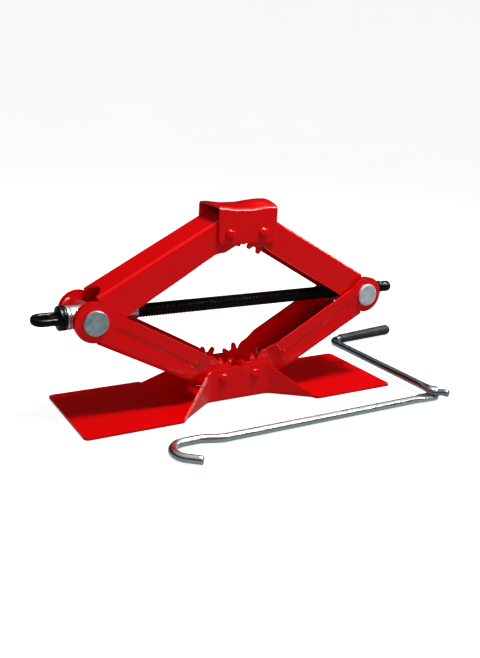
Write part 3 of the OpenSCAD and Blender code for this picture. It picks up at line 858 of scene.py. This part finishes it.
def screw():
    rr, pitch, depth = 7.0, 3.0, 1.0
    x0, x1 = PXL - 28.0, PXL + 375.0
    xs = [(x0, rr - 0.4, False), (x0 + 0.4, rr - 0.05, False), (PXL + 51.6, rr - 0.05, False)]
    n = 8
    t0 = PXL + 52
    count = int((x1 - 14.2 - t0) / pitch * n)
    for i in range(count):
        xs.append((t0 + pitch * i / n, rr, True))
    end = t0 + pitch * (count - 1) / n
    xs += [(end + 0.5, rr - 0.5, False), (x1 - 12.9, 5.7, False), (x1 - 10.5, 5.7, False), (x1 - 9.9, 6.2, False)]
    for t in range(0, 76, 12):
        xs.append((x1 - 3.4 + 3.4 * math.sin(math.radians(t)), 2.8 + 3.4 * math.cos(math.radians(t)), False))
    seg = 28
    V, F = [], []
    for x, q, th in xs:
        for j in range(seg):
            ang = 2 * math.pi * j / seg
            w = q
            if th:
                ph = ((x - t0) / pitch - j / seg) % 1.0
                tri = abs(ph * 2 - 1)               # 0 at the crest, 1 at the root
                w = q - depth * min(1.0, max(0.0, (tri - 0.12) / 0.76))
                w = min(w, q)
                w = q - (q - w) * max(0.0, min(1.0, (x - t0) / 2.0, (end - x) / 2.0))
            V.append((x, w * math.cos(ang), PZ1 + w * math.sin(ang)))
    for i in range(len(xs) - 1):
        for j in range(seg):
            j2 = (j + 1) % seg
            F.append((i * seg + j, i * seg + j2, (i + 1) * seg + j2, (i + 1) * seg + j))
    F.append(tuple(range(seg - 1, -1, -1)))
    k = (len(xs) - 1) * seg
    V.append((x1 + 0.0, 0, PZ1))
    for j in range(seg):
        F.append((k + j, k + (j + 1) % seg, len(V) - 1))
    return mesh_object("threaded_screw", V, F, BLACK, "screw", ["lead_screw"], sharp=50)


screw()


def sweep(points, frames, sections, closed=False):
    """Rings along a path. frames: (side, up) vectors; sections: lists of (a, b) points."""
    V, F = [], []
    k = len(sections[0])
    for p, (sx, sy), sec in zip(points, frames, sections):
        for a0, b0 in sec:
            V.append(Vector(p) + sx * a0 + sy * b0)
    n = len(points)
    for i in range(n if closed else n - 1):
        i2 = (i + 1) % n
        for j in range(k):
            j2 = (j + 1) % k
            F.append((i * k + j, i * k + j2, i2 * k + j2, i2 * k + j))
    if not closed:
        F.append(tuple(range(k - 1, -1, -1)))
        F.append(tuple((n - 1) * k + j for j in range(k)))
    return V, F


def superellipse(ra, rb, p=2.0, n=28):
    out = []
    for i in range(n):
        t = 2 * math.pi * i / n
        c, s = math.cos(t), math.sin(t)
        out.append((ra * math.copysign(abs(c) ** (2 / p), c), rb * math.copysign(abs(s) ** (2 / p), s)))
    return out


def eye():
    tilt = Matrix.Rotation(math.radians(6), 3, "X")
    c = Vector((PXL, 0, PZ1))
    pts, fr, sec = [], [], []
    # loop of forged bar round the slot: half ring, two sides and the root
    path = []
    R, cx, xs2 = 7.68, -42.7, -29.0
    for t in np.arange(90, 271, 9):
        path.append(Vector((cx + R * math.cos(math.radians(t)), R * math.sin(math.radians(t)), 0)))
    for x in np.linspace(cx + 2, xs2, 7):
        path.append(Vector((x, -R, 0)))
    for x in np.linspace(xs2, cx + 2, 7):
        path.append(Vector((x, R, 0)))
    n = len(path)
    for i, p in enumerate(path):
        d = (path[(i + 1) % n] - path[i - 1]).normalized()
        side = Vector((d.y, -d.x, 0))
        pts.append(p)
        fr.append((side, Vector((0, 0, 1))))
        sec.append(superellipse(3.0, 3.6, 2.5, 20))
    V, F = sweep(pts, fr, sec, closed=True)
    # web filling the root of the eye, next to the collar
    V = [tilt @ v + c for v in V]
    k = len(V)
    prof = [(-28.0, 0), (-28.0, 11.3), (-27.6, 11.8), (-27.0, 12.0), (-25.0, 12.0), (-24.6, 11.8), (-24.35, 11.4), (-24.1, 11.4), (-23.9, 11.8), (-23.5, 12.0), (-21.7, 12.0), (-21.2, 11.8), (-21.0, 11.3), (-21.0, 0)]
    seg = 48
    for j in range(seg):
        t = 2 * math.pi * j / seg
        for h, q in prof:
            V.append(tilt @ Vector((h, q * math.cos(t), q * math.sin(t))) + c)
    kk = len(prof)
    for j in range(seg):
        j2 = (j + 1) % seg
        for i in range(kk - 1):
            F.append((k + j * kk + i, k + j * kk + i + 1, k + j2 * kk + i + 1, k + j2 * kk + i))
    # solid root between the sides
    k = len(V)
    root = [(-36.3, 3.4), (-31.0, 8.6), (-27.6, 10.2)]
    ring = []
    for x, hw in root:
        for a0, b0 in superellipse(hw, 3.6 if x < -30 else 4.3, 3.2, 24):
            V.append(tilt @ Vector((x, a0, b0)) + c)
    for i in range(2):
        for j in range(24):
            j2 = (j + 1) % 24
            F.append((k + i * 24 + j, k + i * 24 + j2, k + (i + 1) * 24 + j2, k + (i + 1) * 24 + j))
    F.append(tuple(k + j for j in range(23, -1, -1)))
    F.append(tuple(k + 48 + j for j in range(24)))
    return mesh_object("forged_eye", V, F, BLACK, "screw", ["screw_eye"], sharp=50)


eye()

# --------------------------------------------------------------- the handle
BR = (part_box("hook_rod")[1].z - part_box("hook_rod")[0].z) / 2 / MM
HX, HY = mid("hinge_rivet").x, mid("hinge_rivet").y
Z = Vector((0, 0, 1))


def tube_path(path, radius, flat=None, seg=28):
    """Round bar along a path. flat(i) gives (half width, half thickness, power) or None."""
    pts, fr, sec = [], [], []
    n = len(path)
    for i, p in enumerate(path):
        a0, b0 = path[max(0, i - 1)], path[min(n - 1, i + 1)]
        d = (b0 - a0).normalized()
        side = d.cross(Z).normalized()
        upv = side.cross(d).normalized()
        pts.append(p)
        fr.append((side, upv))
        w = flat(i) if flat else None
        sec.append(superellipse(*w, seg) if w else superellipse(radius, radius, 2, seg))
    return sweep(pts, fr, sec)


def with_rounded_ends(path, radius, first=True, last=True, e=0.5):
    """Doubles the end rings so that the cut ends have a small chamfer."""
    out = list(path)
    sc = [1.0] * len(out)
    if first:
        d = (out[1] - out[0]).normalized()
        out = [out[0], out[0] + d * e] + out[1:]
        sc = [1 - e / radius, 1.0] + sc[1:]
    if last:
        d = (out[-1] - out[-2]).normalized()
        out = out[:-1] + [out[-1] - d * e, out[-1]]
        sc = sc[:-1] + [1.0, 1 - e / radius]
    return out, sc


def hook():
    z = BR
    cx, cy, R = -104.0, -121.0, 17.5
    path = []
    e = Vector((cx + R * math.cos(math.radians(231)), cy + R * math.sin(math.radians(231)), z))
    d = Vector((math.cos(math.radians(-39)), math.sin(math.radians(-39)), 0))
    for t in (14, 10, 6, 2):
        path.append(e + d * t)
    for t in np.arange(231, 89, -6):
        path.append(Vector((cx + R * math.cos(math.radians(t)), cy + R * math.sin(math.radians(t)), z)))
    # the small set behind the hook, as a smooth S
    x0, x1, ya, yb = -91.0, -63.0, cy + R, HY
    path.append(Vector((-97, ya, z)))
    for i in range(0, 13):
        t = i / 12
        path.append(Vector((x0 + (x1 - x0) * t, ya + (yb - ya) * sm(t), z)))
    for x in np.linspace(-55, HX - 24, 24):
        path.append(Vector((x, HY, z)))
    k = len(path)
    for x in (HX - 21, HX - 18, HX - 15, HX - 12, HX - 9, HX - 5, HX - 1, HX + 2.2, HX + 4.6, HX + 6, HX + 6.7):
        path.append(Vector((x, HY, z)))
    path, sc = with_rounded_ends(path, BR, True, False)
    k += 1

    def flat(i):
        if i < k:
            return (BR * sc[i], BR * sc[i], 2.0)
        x = path[i].x
        t = sm((x - (HX - 24)) / 11)
        w = BR + (6.6 - BR) * t
        if x > HX:
            w = 6.8 * math.sqrt(max(0.02, 1 - ((x - HX) / 6.85) ** 2))
        return (w, BR + (3.0 - BR) * t, 2.0 + 2.6 * t)

    V, F = tube_path(path, BR, flat)
    return mesh_object("hook_bar", V, F, BAR, "handle_bar", ["hook_rod"], sharp=50)


hook()
CA, GA = math.radians(87.26), math.radians(6.96)
GRIP_Z = mid("grip_sleeve").z
CL = 199.9


def crank():
    h = Vector((HX, HY, 0))
    du = Vector((math.cos(CA), math.sin(CA), 0))
    dg = Vector((math.cos(GA), math.sin(GA), 0))
    turn = CA - GA
    er = 13.0
    lead = er * math.tan(turn / 2)
    zt, z0 = 10.3, GRIP_Z
    path, ws = [], []

    def add(p, w):
        path.append(p)
        ws.append(w)

    # tail, from its cut end to the flat
    tail = Vector((math.cos(math.radians(-76)), math.sin(math.radians(-76)), 0))
    rs = BR - 0.25
    add(h + tail * 18.5 + Z * 13.2, (rs - 0.5, rs - 0.5, 2))
    add(h + tail * 18.0 + Z * 13.2, (rs, rs, 2))
    add(h + tail * 15.0 + Z * 13.0, (rs, rs, 2))
    add(h + tail * 12.0 + Z * 12.6, (rs + 0.5, rs - 0.5, 2.2))
    add(h + tail * 9.0 + Z * 11.6, (5.6, 3.3, 2.8))
    add(h + tail * 5.5 + Z * 10.5, (6.4, 2.8, 4))
    add(h + Z * 10.3, (6.7, 2.75, 5))
    add(h + du * 6 + Z * 10.3, (6.5, 2.75, 5))
    add(h + du * 10 + Z * 10.3, (6.2, 2.8, 4))
    add(h + du * 14 + Z * 10.25, (5.6, 3.3, 3))
    add(h + du * 18 + Z * 10.1, (BR + 0.5, BR - 0.4, 2.3))
    s_end = CL - lead
    for s in np.linspace(23, s_end, 30):
        z = 10.3 + (z0 - 10.3) * (s - 11) / (s_end - 11)
        add(h + du * s + Z * z, (BR, BR, 2))
    c = h + du * s_end + Vector((math.cos(CA - math.pi / 2), math.sin(CA - math.pi / 2), 0)) * er
    a0 = CA + math.pi / 2
    for i in range(1, 14):
        t = a0 - turn * i / 13
        add(c + Vector((math.cos(t), math.sin(t), 0)) * er + Z * z0, (BR, BR, 2))
    el = h + du * CL
    for s in np.linspace(lead + 2, 95.5, 12):
        add(el + dg * s + Z * z0, (BR, BR, 2))
    add(el + dg * 96 + Z * z0, (BR - 0.5, BR - 0.5, 2))
    V, F = tube_path(path, BR, lambda i: ws[i])
    return mesh_object("crank_bar", V, F, CRANK, "crank", ["crank_arm"], sharp=50)


crank()
prof = [(0.15, 0), (0.15, 3.6), (0.5, 4.3), (1.0, 4.5), (1.25, 4.2), (1.3, 3.0), (13.0, 3.0), (13.05, 6.1), (13.3, 6.4)]
prof += [(13.5 + 2.45 * math.sin(t), 6.4 * math.cos(t)) for t in np.radians(np.arange(6, 85, 8))] + [(15.95, 0)]
lathe("fold_rivet", prof, (HX, HY, 0), (0, 0, 1), BRIGHT, "handle_bar", ["hinge_rivet"], 48)


def grip():
    er = 13.0
    el = Vector((HX, HY, 0)) + Vector((math.cos(CA), math.sin(CA), 0)) * CL + Z * GRIP_Z
    d = Vector((math.cos(GA), math.sin(GA), 0))
    gl = 92.9
    prof = [(0.0, BR + 0.08), (0.0, 5.2), (0.25, 5.6), (0.9, 5.85)]
    for i in range(1, 15):
        t = i / 15
        prof.append((0.9 + (gl - 6.9) * t, 5.85 + 1.05 * t))
    prof += [(gl - 6 + 6 * math.sin(t), 6.9 - 4.2 + 4.2 * math.cos(t)) for t in np.radians(np.arange(0, 90, 9))]
    prof += [(gl, 1.6), (gl - 0.4, 1.2), (gl - 0.4, 0), (gl - 3, 0), (gl - 6, 5.5), (gl - 18, 5.5), (gl - 18, BR + 0.08)]
    return lathe("hand_grip", prof, el + d * 15.6, d, GRIP, "grip", ["grip_sleeve"], 56)


grip()

# nodes kept from the frame, with their own finish
for node, mat in (("bearing_trunnion", ZINC), ("nut_trunnion", ZINC), ("spacer_washers_left", ZINC), ("spacer_washers_right", ZINC),
                  ("bearing_balls", BRIGHT), ("ball_cage", BRASS), ("grip_retainer", BAR)):
    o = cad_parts[node]
    o.data.materials.clear()
    o.data.materials.append(mat)

# --------------------------------------------------------------- the stage
n = Nodes("floor_white")
n.set(Base_Color=n.ramp(n.noise(3, 2), [(0.3, (0.55, 0.55, 0.55)), (0.7, (0.58, 0.58, 0.58))]))
n.set(Roughness=0.9)
n.b.inputs["Specular IOR Level"].default_value = 0.0
n.b.inputs["Emission Color"].default_value = (1, 1, 1, 1)
n.b.inputs["Emission Strength"].default_value = 0.80
# a flat floor that curves up into a plain cove all round
ring = [(0.0, 0.0), (1.5, 0.0), (3.0, 0.0)]
ring += [(3.0 + 2.0 * math.sin(t), 2.0 - 2.0 * math.cos(t)) for t in np.radians(np.arange(6, 91, 6))]
ring += [(5.0, 3.5), (4.4, 5.5), (2.5, 6.8), (0.0, 7.2)]
fv, ff, seg = [], [], 72
for j in range(seg):
    t = 2 * math.pi * j / seg
    for q, z in ring:
        fv.append((q * math.cos(t), q * math.sin(t), z - 0.0004))
k = len(ring)
for j in range(seg):
    j2 = (j + 1) % seg
    for i in range(k - 1):
        ff.append((j * k + i, j2 * k + i, j2 * k + i + 1, j * k + i + 1))
me = bpy.data.meshes.new("floor")
me.from_pydata(fv, [], ff)
bm = bmesh.new()
bm.from_mesh(me)
bmesh.ops.remove_doubles(bm, verts=bm.verts, dist=1e-6)
bmesh.ops.recalc_face_normals(bm, faces=bm.faces)
bm.to_mesh(me)
bm.free()
for q in me.polygons:
    q.use_smooth = True
floor = bpy.data.objects.new("floor", me)
scene.collection.objects.link(floor)
me.materials.append(n.m)
floor.visible_diffuse = False
floor.visible_glossy = False
floor.visible_shadow = False

# soft studio surroundings: bright overhead, dark round the sides, a dim bounce from below
world = bpy.data.worlds.new("studio")
scene.world = world
world.use_nodes = True
wt = world.node_tree
bg = wt.nodes["Background"]
tc = wt.nodes.new("ShaderNodeTexCoord")
sp = wt.nodes.new("ShaderNodeSeparateXYZ")
wt.links.new(tc.outputs["Generated"], sp.inputs[0])
mr = wt.nodes.new("ShaderNodeMapRange")
mr.inputs["From Min"].default_value = -1.0
mr.inputs["From Max"].default_value = 1.0
wt.links.new(sp.outputs[2], mr.inputs["Value"])
rp = wt.nodes.new("ShaderNodeValToRGB")
wt.links.new(mr.outputs[0], rp.inputs["Fac"])
wt.links.new(rp.outputs["Color"], bg.inputs[0])
el = rp.color_ramp.elements
stops = [(0.0, (0.20, 0.24, 0.25)), (0.40, (0.30, 0.35, 0.36)), (0.49, (0.12, 0.13, 0.13)), (0.515, (0.012, 0.012, 0.012)),
         (0.76, (0.03, 0.03, 0.03)), (0.84, (0.34, 0.34, 0.34)), (1.0, (0.40, 0.40, 0.40))]
while len(el) < len(stops):
    el.new(0.5)
for q, (pos, c) in zip(el, stops):
    q.position = pos
    q.color = (*c, 1)
bg.inputs[1].default_value = 1.0


def area(name, loc, target, size, power, sy=None):
    d = bpy.data.lights.new(name, "AREA")
    d.shape = "RECTANGLE"
    d.size = size
    d.size_y = sy or size
    d.energy = power
    o = bpy.data.objects.new(name, d)
    scene.collection.objects.link(o)
    o.location = loc
    o.rotation_mode = "QUATERNION"
    o.rotation_quaternion = (Vector(target) - Vector(loc)).to_track_quat("-Z", "Y")
    return o


area("key", (0.26, -0.30, 1.30), (0, 0, 0.08), 0.24, 16.5)
edge = area("edge", (0.60, -0.70, 0.86), (0, 0, 0.14), 0.10, 6.0, 0.5)
front = area("front", (-0.40, -1.40, 0.42), (0, 0, 0.1), 0.8, 5.2)
# a fill that lights the walls without showing as a haze in the paint
front.visible_glossy = False
# and a strip that only draws the bright lines along bends and edges
edge.visible_diffuse = False
area("rim", (1.3, -0.05, 0.70), (0, 0, 0.1), 0.25, 2.5)
scene.view_settings.view_transform = "Standard"
scene.view_settings.look = "None"
# a little contrast at the dark end, as a product picture has
scene.view_settings.use_curve_mapping = True
cm = scene.view_settings.curve_mapping
cv = cm.curves[3]
cv.points.new(0.03, 0.013)
cv.points.new(0.12, 0.105)
cv.points.new(0.5, 0.53)
cm.update()
